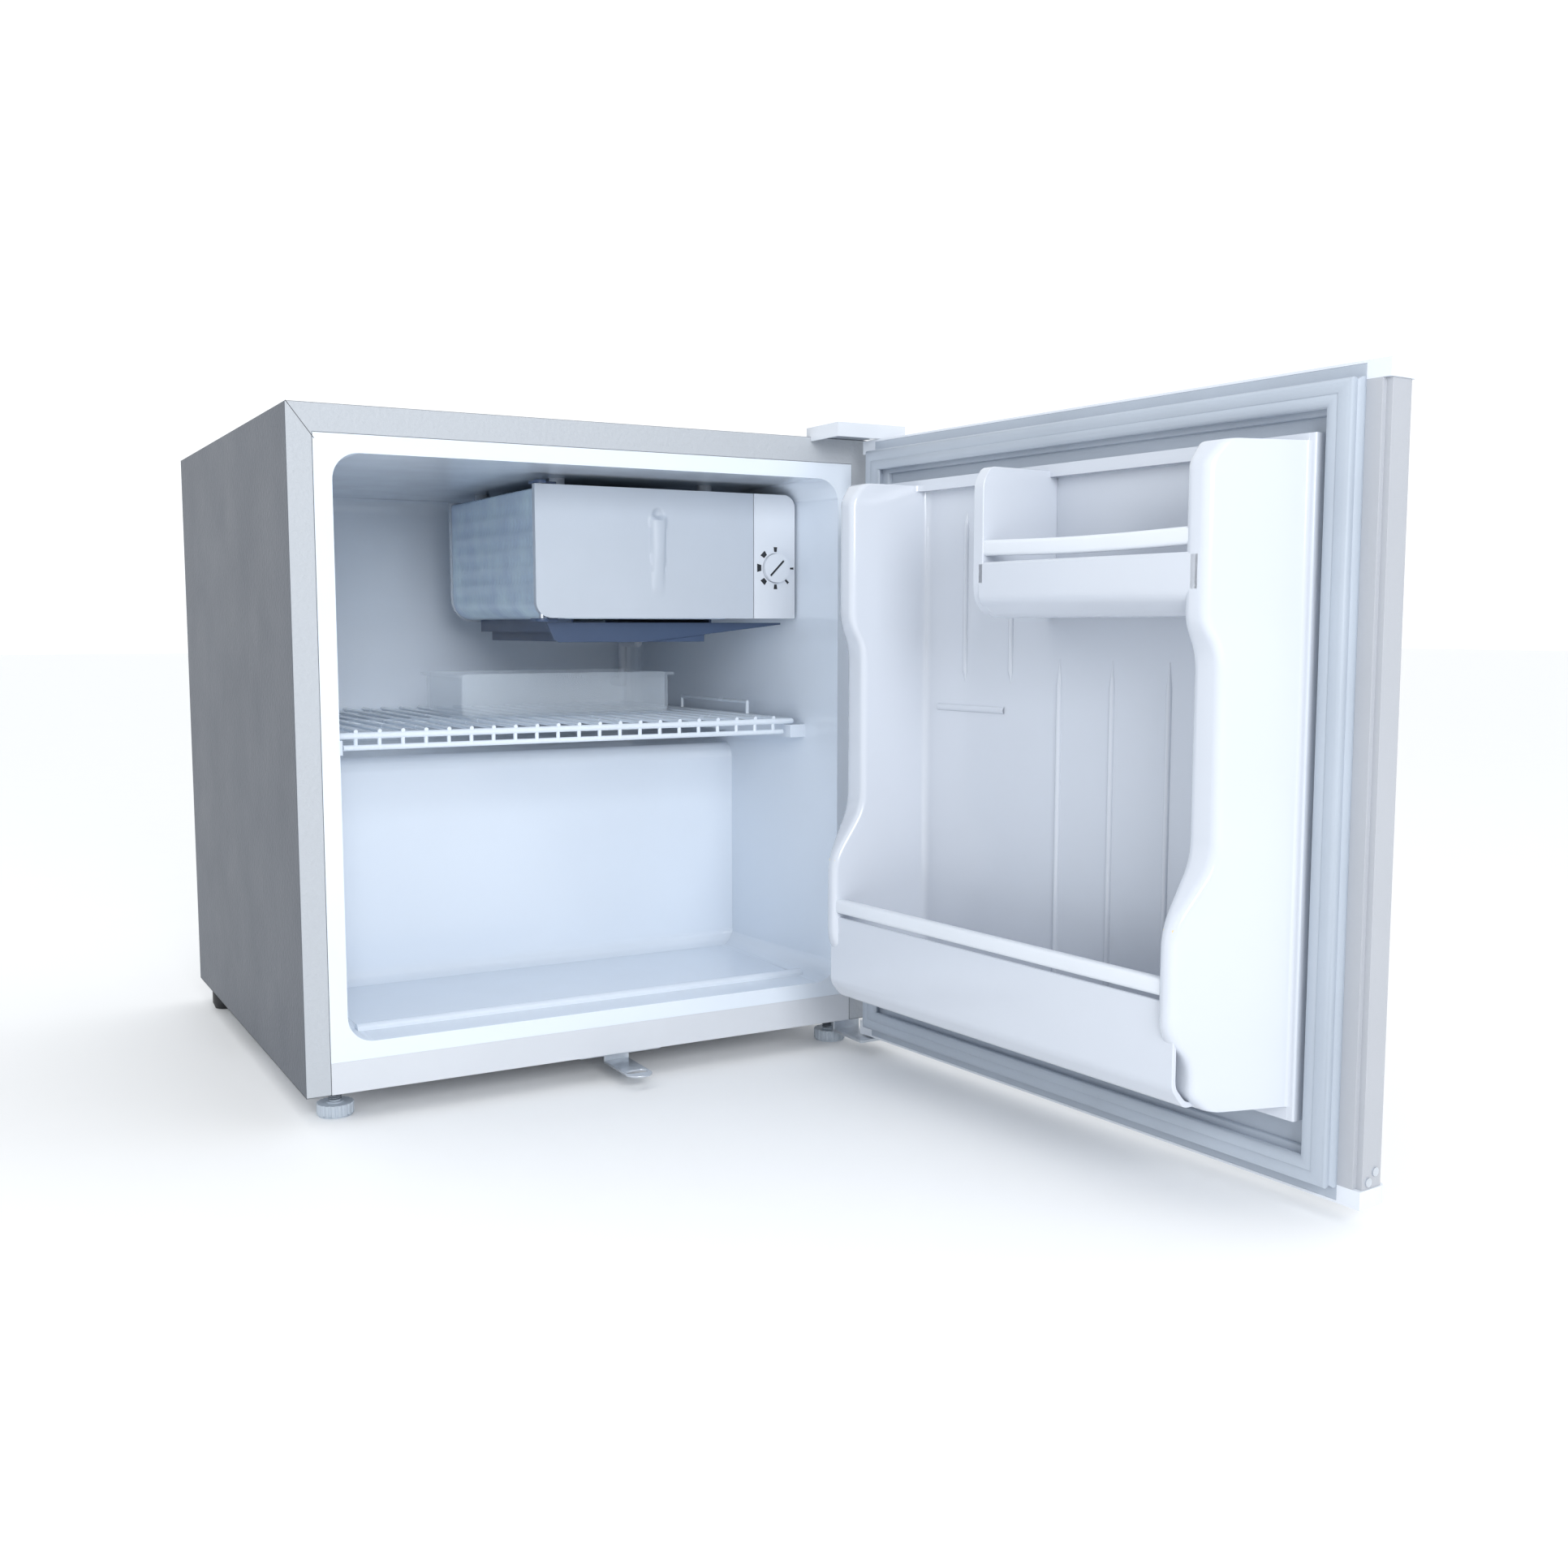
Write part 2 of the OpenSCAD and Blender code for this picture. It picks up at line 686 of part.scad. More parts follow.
// ---------- pieces that move inside the cabinet ----------
module thermostat_knob() {
    color("white") place() difference() {
        union() {
            rod_y(dial[0], [flap_y - 3.6, flap_y + 4], dial[1], dial_r);
            rod_y(dial[0], [flap_y + 3.9, flap_y + 20], dial[1], shaft_r);
        }
        translate([dial[0], flap_y - 3.6, dial[1]]) rotate([0, 45, 0])
            cube([1.8, 1.6, 2 * dial_r - 5], center = true);
    }
}

module freezer_flap() {
    r = 12;
    face_t = 2.4;
    grip_x = 292;
    grip_z = [342, 396];
    color("white") place() {
        difference() {
            along_y([flap_y, flap_y + flap_t]) union() {
                rrect([flap_x[0], flap_z[0]], [flap_x[1], flap_z[1]], r);
                translate([flap_x[0] + r, flap_z[0]]) square([flap_x[1] - flap_x[0] - r, evap_h]);
                translate([flap_x[0], flap_z[0] + r]) square([r + 1, evap_h - r]);
            }
            along_y([flap_y + face_t, flap_y + flap_t + 1])
                rrect([flap_x[0] + 10, flap_z[0] + 3], [flap_x[1] - 3, flap_z[1] - 3], 8);
            for (z = [[flap_z[0] - 1, flap_z[0] + pin_depth], [flap_z[1] - pin_depth, flap_z[1] + 1]])
                rod_z(flap_pin[0], flap_pin[1], z, flap_pin_r);
        }
        // upright finger grip, wider at its top
        along_y([flap_y - 3, flap_y + 1]) polygon([[grip_x - 4, grip_z[0]], [grip_x + 4, grip_z[0]],
            [grip_x + 6.5, grip_z[1]], [grip_x - 6.5, grip_z[1]]]);
    }
}

module flap_pins() {
    color("silver") place()
        for (z = [[ear_z[0][0], flap_z[0] + pin_depth], [flap_z[1] - pin_depth, ear_z[1][1]]])
            rod_z(flap_pin[0], flap_pin[1], z, flap_pin_r);
}

shelf_x = [37, cab_w - 38.5];
shelf_y = [57, back_y - 14];

module wire_shelf() {
    frame_r = 2.4;
    brace_r = 2;
    wire_r = 1.5;
    drop = 8.5;           // lower front bar below the frame
    lift = 2.9;           // wires lie on the frame
    step = (shelf_x[1] - shelf_x[0]) / (shelf_wires + 1);
    color("white") place() {
        for (x = shelf_x) rod_y(x, [shelf_y[0], shelf_y[1]], shelf_z, frame_r);
        for (y = shelf_y) rod_x([shelf_x[0], shelf_x[1]], y, shelf_z, frame_r);
        for (x = shelf_x, y = shelf_y) translate([x, y, shelf_z]) sphere(r = frame_r);
        rod_x([shelf_x[0] + 8, shelf_x[1] - 8], shelf_y[0], shelf_z - drop, brace_r);
        rod_x([shelf_x[0], shelf_x[1]], (shelf_y[0] + shelf_y[1]) / 2, shelf_z, brace_r);
        for (i = [1:shelf_wires]) {
            x = shelf_x[0] + i * step;
            rod_y(x, [shelf_y[0] - 1.6, shelf_y[1] + 1.6], shelf_z + lift, wire_r);
            rod_z(x, shelf_y[0], [shelf_z - drop, shelf_z], wire_r);
        }
    }
}

// bent wires that stand up at both ends of the shelf
module shelf_stop() {
    y = [120, 246];
    z = [shelf_z - 1, shelf_z + 13];
    color("white") place() for (x = [shelf_x[0] + 6.4, shelf_x[1] - 6.4])
        tube([[x, y[0], z[0]], [x, y[0], z[1]], [x, y[1], z[1]], [x, y[1], z[0]]], 1.5);
}

module clear_tray() {
    x = [162, 342];
    y = [152, 244];
    z = [shelf_z + 4.4, shelf_z + 39];
    wall = 2;
    rim = 4;
    color([0.8, 0.9, 1, 0.5]) place() difference() {
        union() {
            along_y(y) rrect([x[0], z[0]], [x[1], z[1]], 6);
            box([x[0] - rim, x[1] + rim], [y[0] - rim, y[1] + rim], [z[1] - 3, z[1] - 0.5]);
        }
        box([x[0] + wall, x[1] - wall], [y[0] + wall, y[1] - wall], [z[0] + wall, z[1] + 10]);
    }
}

// shallow tray on two rails, with a wide shield as its front
module drip_tray() {
    mid = evap_x + evap_w / 2;
    half = 52;
    wall = 2;
    low = evap_z - 18.5;
    top = ear_z[0][0] - 0.6;
    y = [evap_y + 4, evap_back - 8];
    color("slategray") place() difference() {
        union() {
            box([mid - half, mid + half], y, [low, low + 10.5]);
            box([mid - half - 5.8, mid + half + 5.8], y, [low + 9.8, low + 11.7]);
            along_y([evap_y + 2, evap_y + 5]) polygon([[evap_x + 1, top], [evap_x + 7, low + 2],
                [evap_x + 11, low], [evap_x + 84, low], [evap_x1 + 38, top - 1.5], [evap_x1 + 38, top]]);
        }
        box([mid - half + wall, mid + half - wall], [y[0] + wall + 0.5, y[1] - wall], [low + wall, evap_z]);
    }
}

// ---------- door, drawn shut ----------
// outline of the pan in X and Y, inset by t
module pan_outline(t) {
    a = door_x[0] + t;
    b = door_x[1] - t;
    y0 = door_y[0] + t;
    s = edge_step;
    r = 5 - t;
    polygon(concat(arc([a + r, y0 + r], r, 180, 270), arc([b - r, y0 + r], r, 270, 360),
        [[b, door_y[1] - s[1] - t], [b - s[0], door_y[1] - s[1] - t], [b - s[0], door_y[1] - t],
         [a + s[0], door_y[1] - t], [a + s[0], door_y[1] - s[1] - t], [a, door_y[1] - s[1] - t]]));
}

module door_skin() {
    color("whitesmoke") door_pose() difference() {
        translate([0, 0, pan_z[0]]) linear_extrude(pan_z[1] - pan_z[0]) difference() {
            pan_outline(0);
            pan_outline(steel_t);
            translate([flange_in, door_y[1] - 2]) square([cab_w - 2 * flange_in, 4]);
        }
        rod_y(lock_x, [door_y[0] - 1, door_y[0] + 2], lock_z, barrel_r + gap);
        edge_screw_holes();
    }
}

module edge_screw_holes() {
    for (p = edge_screws) rod_x([door_x[0] - 1, door_x[0] + edge_screw[2]], p[0], p[1], edge_screw[0]);
}

// sheet at the liner's back that covers the pan and the caps
module liner_flange(z) {
    box([flange_in, cab_w - flange_in], [door_y[1] - 1, door_y[1]], z);
}

module end_cap(z) {
    a = [door_x[0] - cap_proud, door_y[0] - cap_proud];
    b = [door_x[1] + cap_proud, door_y[1]];
    translate([0, 0, z[0]]) linear_extrude(z[1] - z[0]) polygon(concat(
        arc(a + [cap_r, cap_r], cap_r, 180, 270, 8), arc([b[0] - cap_r, a[1] + cap_r], cap_r, 270, 360, 8),
        [b, [a[0], b[1]]]));
}

module door_top_cap() {
    color("white") door_pose() difference() {
        end_cap([pan_z[1], cap_z[1]]);
        rod_z(pin[0], pin[1], [pan_z[1] - 1, cap_z[1] + 1], bush_r);
        liner_flange([0, flange_z[1]]);
    }
}

module door_bottom_cap() {
    z = [cap_z[0] - 1, pan_z[0] + 1];
    color("white") door_pose() difference() {
        end_cap([cap_z[0], pan_z[0]]);
        rod_z(pin[0], pin[1], z, bush_r);
        bolt_slot(z);
        for (x = cap_screw_x) rod_z(x, cap_screw_y, z, hole_r);
        liner_flange([flange_z[0], cab_h]);
    }
}

module bolt_slot(z) {
    half = [bolt[0] + gap, bolt[1] + gap];
    box([lock_x - half[0], lock_x + half[0]], [bolt_y - half[1], bolt_y + half[1]], z);
}

module cap_screws() {
    color("silver") door_pose() {
        for (x = cap_screw_x) {
            rod_z(x, cap_screw_y, [cap_z[0] - 0.9, cap_z[0]], 3.4);
            rod_z(x, cap_screw_y, [cap_z[0] - 0.1, pan_z[0]], screw_r);
        }
        for (p = edge_screws) {
            rod_x([door_x[0] - 0.9, door_x[0]], p[0], p[1], edge_screw[1]);
            rod_x([door_x[0] - 0.1, door_x[0] + edge_screw[2]], p[0], p[1], edge_screw[0]);
        }
    }
}

module hinge_bushes() {
    color("gray") door_pose() for (z = [[cap_z[0], pan_z[0]], [pan_z[1], cap_z[1]]]) difference() {
        rod_z(pin[0], pin[1], z, bush_r);
        rod_z(pin[0], pin[1], [z[0] - 1, z[1] + 1], pin_r + run);
    }
}

// profile of a side wall in Y and Z, inset by d
module crest_outline(d) {
    y = door_y[1] - 1;
    z = [wall_z[0] + d, wall_z[1] - d];
    polygon([[y, z[0]], [crest_up - 10 - d, z[0]], [crest_up - d, z[0] + 10], [crest_up - d, 73],
        [crest_low - d, 90 + d / 2], [crest_low - d, 150 - d / 2], [crest_mid - d, 186],
        [crest_mid - d, 300], [crest_up - d, 318], [crest_up - d, z[1] - 12], [crest_up - 10 - d, z[1]],
        [y, z[1]]]);
}

// plan of the free side wall: leaning outer face, steep inner face
module wall_plan(d) {
    root = slab[0] + 4;
    top = crest_low + 4;
    polygon([[root + d - draft * 11, -door_gap - 1], [root + d + draft * (top + 1), top],
        [root + draft * (top + 1) + crest_w - d, top], [root + wall_w - d, -door_gap - 1]]);
}

module side_walls(d) {
    for (s = [0, 1]) translate([s * cab_w, 0, 0]) mirror([s, 0, 0]) intersection() {
        along_x([20, 120]) crest_outline(d);
        linear_extrude(cab_h) wall_plan(d);
    }
}

// face of the moulded liner, inset by d; its back stays open towards the foam
module liner_form(d) {
    difference() {
        union() {
            box([slab[0] + d, slab[2] - d], [door_y[1] - 1, -1 - d], [slab[1] + d, slab[3] - d]);
            side_walls(d);
        }
        box([slab[0] + recess_side - d, slab[2] - recess_side + d], [recess_y - d, far],
            [rack_z[0] + 3 - d, slab[3] - recess_top + d]);
    }
    side_walls(d);
}

// what the foam fills behind the slab's face
module slab_core(y0) {
    t = liner_t;
    box([slab[0] + t, slab[2] - t], [y0, recess_y - t], [slab[1] + t, slab[3] - t]);
}

module door_liner() {
    color("white") door_pose() difference() {
        union() {
            liner_form(0);
            liner_flange(flange_z);
            // trough of the upper pocket and its closed end
            along_x([66, pocket_x - 2]) polygon([[recess_y, pocket_z[0]], [44, pocket_z[0]], [crest_up, 332],
                [crest_up, pocket_z[1]], [crest_up - 3, pocket_z[1]], [crest_up - 3, 333], [43, 324],
                [recess_y, 324]]);
            along_x([pocket_x - 9, pocket_x]) polygon(concat([[recess_y, pocket_z[0]]],
                arc([crest_up - 12, pocket_z[0] + 12], 12, 270, 360), [[crest_up, 406], [crest_up - 8, 416],
                [recess_y, 416]]));
            // bottle rack
            along_x([64, cab_w - 64]) polygon([[recess_y, rack_z[0]], [56, rack_z[0]],
                [66, rack_z[0] + 12], [66, rack_z[1]], [63, rack_z[1]], [63, rack_z[0] + 13],
                [55, rack_z[0] + 3], [recess_y, rack_z[0] + 3]]);
            // stiffening ribs
            for (x = [137, 184, 231]) box([x - 1.6, x + 1.6], [recess_y - 1, recess_y + 2], [60, 294]);
            for (x = [278, 325, 368]) box([x - 1.6, x + 1.6], [recess_y - 1, recess_y + 2], [277, 395]);
        }
        liner_form(liner_t);
        slab_core(door_y[1] - 2);
    }
}

module door_foam() {
    color("khaki") door_pose() difference() {
        union() {
            translate([0, 0, pan_z[0]]) linear_extrude(pan_z[1] - pan_z[0]) pan_outline(steel_t);
            liner_form(liner_t);
            slab_core(door_y[1] - 2);
        }
        lock_case(0);
        edge_screw_holes();
        // the pan's inner flanges and the liner's flange fill the last millimetre
        difference() {
            box([-far, cab_w + far], [door_y[1] - 1, door_y[1] + 1], [0, cab_h]);
            slab_core(door_y[1] - 3);
        }
    }
}

module door_gasket() {
    color("lightsteelblue") door_pose() along_y([door_y[1], -gap]) difference() {
        rrect([gasket_out[0], gasket_out[1]], [gasket_out[2], gasket_out[3]], 3);
        rrect([gasket_out[0] + gasket_w[0], gasket_out[1] + gasket_w[1]],
            [gasket_out[2] - gasket_w[0], gasket_out[3] - gasket_w[1]], 3);
    }
}

module pocket_rail() {
    color("white") door_pose() difference() {
        along_x([71, pocket_x - 9]) rrect([crest_up - 7, 359], [crest_up - 0.5, 370], 2.5);
        side_walls(0);
    }
}

module bottle_rail() {
    color("white") door_pose() difference() {
        along_x([66, cab_w - 66]) rrect([61, 110.5], [68, 121], 2.5);
        side_walls(0);
    }
}

// ---------- lock ----------
module lock_case(z0) {
    box([lock_x - 12, lock_x + 12], [door_y[0] + steel_t, -15], [z0, lock_z + 9]);
}

module lock_housing() {
    color("silver") door_pose() difference() {
        lock_case(pan_z[0]);
        rod_y(lock_x, [door_y[0], bolt_y - bolt[1] - gap], lock_z, barrel_r + run);
        bolt_slot([0, lock_z + 6]);
    }
}

module lock_barrel() {
    key = [0.8, 4];
    color("silver") door_pose() difference() {
        union() {
            rod_y(lock_x, [door_y[0] + 0.5, bolt_y - 3], lock_z, barrel_r);
            rod_y(lock_x, [door_y[0] - 2.6, door_y[0] - gap], lock_z, barrel_r + 2);
            rod_y(lock_x, [door_y[0] - 1, door_y[0] + 1], lock_z, barrel_r - 0.2);
        }
        translate([lock_x, door_y[0], lock_z]) cube([2 * key[0], 6, 2 * key[1]], center = true);
    }
}

module lock_bolt() {
    x = [lock_x - bolt[0], lock_x + bolt[0]];
    y = [bolt_y - bolt[1], bolt_y + bolt[1]];
    color("silver") door_pose() box(x, y, [cap_z[0] + 0.5, lock_z + 4]);
}

cabinet_wrap();
bottom_panel();
rear_panel();
base_rail();
cabinet_foam();
inner_liner();
condenser_coil();
evaporator();
freezer_back_plate();
freezer_frame();
evaporator_hangers();
evaporator_screws();
thermostat_housing();
thermostat_body();
sensing_tube();
refrigerant_line();
drip_tray_rails();
compressor_shell();
compressor_feet();
compressor_grommets();
compressor_studs();
terminal_cover();
compressor_pipes();
filter_drier();
cord_gland();
strike_plate();
strike_screws();
upper_hinge_bracket();
upper_hinge_pin();
upper_hinge_screws();
upper_hinge_cover();
lower_hinge_bracket();
lower_hinge_pin();
lower_hinge_screws();
hinge_washer();
foot_nuts();
rear_feet();
thermostat_knob();
freezer_flap();
flap_pins();
wire_shelf();
shelf_stop();
clear_tray();
drip_tray();
foot_left();
foot_right();
door_skin();
door_top_cap();
door_bottom_cap();
door_foam();
door_liner();
door_gasket();
pocket_rail();
bottle_rail();
hinge_bushes();
cap_screws();
lock_housing();
lock_barrel();
lock_bolt();
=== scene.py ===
import math
import bmesh
import bpy
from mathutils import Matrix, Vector


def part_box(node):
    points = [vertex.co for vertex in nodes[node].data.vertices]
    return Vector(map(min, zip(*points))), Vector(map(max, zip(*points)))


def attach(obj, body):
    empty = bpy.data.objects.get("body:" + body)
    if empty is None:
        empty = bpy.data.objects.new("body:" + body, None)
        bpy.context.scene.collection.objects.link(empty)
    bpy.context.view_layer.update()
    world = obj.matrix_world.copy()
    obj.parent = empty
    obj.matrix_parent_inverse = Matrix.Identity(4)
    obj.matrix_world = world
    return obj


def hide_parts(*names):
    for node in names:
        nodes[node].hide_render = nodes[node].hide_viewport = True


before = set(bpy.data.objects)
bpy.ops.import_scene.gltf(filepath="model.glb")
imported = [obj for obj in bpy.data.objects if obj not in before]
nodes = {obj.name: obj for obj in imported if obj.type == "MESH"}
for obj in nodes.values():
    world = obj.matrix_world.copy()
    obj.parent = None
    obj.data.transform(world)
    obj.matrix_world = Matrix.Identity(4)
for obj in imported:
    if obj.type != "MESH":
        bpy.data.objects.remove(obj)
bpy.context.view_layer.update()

# The cabinet's own coordinates, in mm: front bottom left corner of the body, X right, Y back, Z up.
ORIGIN = Vector(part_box("cabinet_wrap")[0])
PIN = Vector((443.0, -29.0, 0.0))
OPEN = math.radians(94.6)


def cab(x, y, z):
    return Vector((x, y, z)) / 1000 + ORIGIN


def door(x, y, z):
    """A point given on the shut door, where it is with the door open."""
    v = Vector((x, y, z)) - PIN
    c, s = math.cos(OPEN), math.sin(OPEN)
    return cab(PIN.x + c * v.x - s * v.y, PIN.y + s * v.x + c * v.y, z)


# ---------- materials ----------
def shade_sides_by_facing(m, place, ramp, front):
    """The ramp's colour, with another one on faces that look to the front; on the wrap the darker ramp
    colour is painted shade on the sides.
    """
    n, link = m.node_tree.nodes, m.node_tree.links.new
    axes = n.new("ShaderNodeSeparateXYZ")
    link(place.outputs["Normal"], axes.inputs["Vector"])
    forward = n.new("ShaderNodeMapRange")
    forward.inputs["From Min"].default_value = -0.6
    forward.inputs["From Max"].default_value = -0.9
    link(axes.outputs["Y"], forward.inputs["Value"])
    mix = n.new("ShaderNodeMix")
    mix.data_type = "RGBA"
    link(forward.outputs["Result"], mix.inputs["Factor"])
    link(ramp.outputs["Color"], mix.inputs["A"])
    mix.inputs["B"].default_value = list(front) + [1]
    return mix.outputs["Result"]


def material(name, base, rough, metal=0.0, tone=0.04, tone_scale=14, wear=0.08, grain=320, bump=0.12,
             stretch=(1, 1, 1), cells=False, depth=0.0004, coat=0.0, alpha=1.0, ior=1.5, front=None):
    m = bpy.data.materials.new(name)
    m.use_nodes = True
    n, link = m.node_tree.nodes, m.node_tree.links.new
    shader = n["Principled BSDF"]
    shader.inputs["Metallic"].default_value = metal
    shader.inputs["Coat Weight"].default_value = coat
    shader.inputs["Coat Roughness"].default_value = 0.12
    shader.inputs["IOR"].default_value = ior
    place = n.new("ShaderNodeTexCoord")
    mapping = n.new("ShaderNodeMapping")
    mapping.inputs["Scale"].default_value = stretch
    link(place.outputs["Object"], mapping.inputs["Vector"])
    broad = n.new("ShaderNodeTexNoise")
    broad.inputs["Scale"].default_value = tone_scale
    broad.inputs["Detail"].default_value = 5
    link(mapping.outputs["Vector"], broad.inputs["Vector"])
    ramp = n.new("ShaderNodeValToRGB")
    ramp.color_ramp.elements[0].position = 0.3
    ramp.color_ramp.elements[1].position = 0.7
    ramp.color_ramp.elements[0].color = [max(0, c * (1 - tone)) for c in base] + [1]
    ramp.color_ramp.elements[1].color = [min(1, c * (1 + tone)) for c in base] + [1]
    link(broad.outputs["Fac"], ramp.inputs["Fac"])
    # With a front colour, faces that do not look to the front keep the darker ramp colour as painted shade.
    if front:
        link(shade_sides_by_facing(m, place, ramp, front), shader.inputs["Base Color"])
    else:
        link(ramp.outputs["Color"], shader.inputs["Base Color"])
    smudge = n.new("ShaderNodeTexNoise")
    smudge.inputs["Scale"].default_value = tone_scale * 3.1
    smudge.inputs["Detail"].default_value = 6
    link(mapping.outputs["Vector"], smudge.inputs["Vector"])
    spread = n.new("ShaderNodeMapRange")
    spread.inputs["To Min"].default_value = max(0.02, rough - wear)
    spread.inputs["To Max"].default_value = min(1, rough + wear)
    link(smudge.outputs["Fac"], spread.inputs["Value"])
    link(spread.outputs["Result"], shader.inputs["Roughness"])
    if cells:
        fine = n.new("ShaderNodeTexVoronoi")
        fine.feature = "SMOOTH_F1"
        height = fine.outputs["Distance"]
    else:
        fine = n.new("ShaderNodeTexNoise")
        fine.inputs["Detail"].default_value = 3
        height = fine.outputs["Fac"]
    fine.inputs["Scale"].default_value = grain
    link(mapping.outputs["Vector"], fine.inputs["Vector"])
    relief = n.new("ShaderNodeBump")
    relief.inputs["Strength"].default_value = bump
    relief.inputs["Distance"].default_value = depth
    link(height, relief.inputs["Height"])
    link(relief.outputs["Normal"], shader.inputs["Normal"])
    shader.inputs["Alpha"].default_value = alpha
    return m


M = {
    # The wrap's sides get this dark base colour as painted shade; its front-facing faces get the lighter
    # front colour.
    "side": material("side_paint_with_painted_shade", (0.105, 0.118, 0.142), 0.48, ior=1.33, tone=0.03, tone_scale=6,
                     grain=300, bump=0.7, depth=0.0008, front=(0.48, 0.51, 0.55)),
    "flange": material("flange_paint", (0.64, 0.67, 0.72), 0.36, tone=0.02, grain=420, bump=0.25),
    "door": material("door_paint", (0.42, 0.44, 0.48), 0.34, tone=0.02, grain=420, bump=0.2),
    "liner": material("liner_plastic", (0.77, 0.84, 0.93), 0.16, tone=0.015, tone_scale=8, grain=90,
                      bump=0.05, coat=0.15),
    "door_liner": material("door_liner_plastic", (0.60, 0.64, 0.71), 0.16, tone=0.012, tone_scale=8,
                           grain=90, bump=0.04, coat=0.2),
    "white": material("white_plastic", (0.70, 0.74, 0.80), 0.32, tone=0.02, grain=500, bump=0.08),
    "satin": material("satin_plastic", (0.50, 0.55, 0.62), 0.38, tone=0.02, grain=700, bump=0.12),
    "evaporator": material("embossed_aluminium", (0.72, 0.84, 1.0), 0.34, metal=0.45, tone=0.12,
                           tone_scale=30, grain=420, bump=0.35, depth=0.0005),
    "gasket": material("gasket_vinyl", (0.40, 0.45, 0.52), 0.5, tone=0.04, grain=900, bump=0.18),
    "wire": material("coated_wire", (0.74, 0.81, 0.89), 0.25, tone=0.02, grain=300, bump=0.06, coat=0.2),
    "zinc": material("zinc_plate", (0.62, 0.66, 0.71), 0.32, metal=0.9, tone=0.10, tone_scale=90,
                     grain=800, bump=0.15),
    "galvanised": material("galvanised_sheet", (0.55, 0.58, 0.61), 0.40, metal=0.8, tone=0.12,
                           tone_scale=70, grain=120, bump=0.15, cells=True),
    "foam": material("rigid_foam", (0.75, 0.62, 0.32), 0.85, tone=0.08, grain=1200, bump=0.6, cells=True),
    "copper": material("copper_tube", (0.62, 0.31, 0.18), 0.30, metal=0.9, tone=0.12, tone_scale=60,
                       grain=500, bump=0.1),
    "black": material("black_moulding", (0.022, 0.023, 0.026), 0.5, tone=0.15, grain=700, bump=0.2),
    "rubber": material("black_rubber", (0.02, 0.02, 0.021), 0.72, tone=0.15, grain=1100, bump=0.3),
    "enamel": material("black_enamel", (0.012, 0.012, 0.014), 0.28, tone=0.2, grain=260, bump=0.18,
                       coat=0.3),
    # The drip tray, its rails and the freezer frame are real parts; this near-black colour on them is
    # painted shadow under the freezer box.
    "tray": material("dark_plastic_painted_shadow", (0.05, 0.08, 0.15), 0.36, tone=0.05, grain=600, bump=0.1),
    "clear": material("clear_plastic", (0.80, 0.88, 0.96), 0.08, tone=0.01, wear=0.03, grain=120,
                      bump=0.03, alpha=0.18, ior=1.46),
    "foot": material("foot_plastic", (0.48, 0.54, 0.61), 0.45, tone=0.06, grain=500, bump=0.2),
    "thread": material("threaded_stem", (0.20, 0.22, 0.25), 0.38, metal=0.7, tone=0.2, grain=300, bump=0.5,
                       stretch=(1, 1, 6)),
    "mark": material("printed_mark", (0.015, 0.017, 0.022), 0.5, tone=0.1, grain=900, bump=0.1),
}
USES = {
    "side": ["cabinet_wrap"],
    "flange": ["bottom_panel"],
    "door": ["door_skin"],
    "liner": ["inner_liner"],
    "door_liner": ["door_liner"],
    "white": ["upper_hinge_cover", "door_top_cap", "door_bottom_cap", "evaporator_hangers",
              "refrigerant_line", "pocket_rail", "bottle_rail", "thermostat_housing", "thermostat_knob"],
    "satin": ["freezer_flap", "hinge_bushes", "hinge_washer", "freezer_back_plate"],
    "evaporator": ["evaporator"],
    "gasket": ["door_gasket"],
    "wire": ["wire_shelf", "shelf_stop"],
    "zinc": ["evaporator_screws", "thermostat_body", "compressor_studs", "strike_plate", "strike_screws",
             "upper_hinge_bracket", "upper_hinge_pin", "upper_hinge_screws", "lower_hinge_bracket",
             "lower_hinge_pin", "lower_hinge_screws", "foot_nuts", "flap_pins", "cap_screws",
             "lock_housing", "lock_barrel", "lock_bolt"],
    "galvanised": ["rear_panel", "base_rail"],
    "foam": ["cabinet_foam", "door_foam"],
    "copper": ["condenser_coil", "sensing_tube", "compressor_pipes", "filter_drier"],
    "black": ["terminal_cover", "cord_gland", "rear_feet"],
    "rubber": ["compressor_grommets"],
    "enamel": ["compressor_shell", "compressor_feet"],
    # Dark colour here is painted shadow under the freezer box.
    "tray": ["drip_tray", "freezer_frame", "drip_tray_rails"],
    "clear": ["clear_tray"],
    "foot": ["foot_left", "foot_right"],
}
for key, names in USES.items():
    for name in names:
        nodes[name].data.materials.clear()
        nodes[name].data.materials.append(M[key])


# ---------- softened edges on the CAD pieces ----------
def soften(name, width):
    o = nodes[name]
    weld = o.modifiers.new("weld", "WELD")
    weld.merge_threshold = 0.00002
    bevel = o.modifiers.new("edge", "BEVEL")
    bevel.width = width
    bevel.segments = 3
    bevel.limit_method = "ANGLE"
    bevel.angle_limit = math.radians(28)
    bevel.harden_normals = True


SOFT_EDGES = {
    "inner_liner": 0.0012, "cabinet_wrap": 0.0009, "door_skin": 0.0007, "door_top_cap": 0.0012,
    "door_bottom_cap": 0.0012, "upper_hinge_cover": 0.0012, "thermostat_housing": 0.0009,
    "thermostat_knob": 0.0008, "freezer_frame": 0.0006, "strike_plate": 0.0004,
    "lower_hinge_bracket": 0.0005, "bottom_panel": 0.0004, "clear_tray": 0.0007, "drip_tray": 0.0006,
}
for name, width in SOFT_EDGES.items():
    soften(name, width)


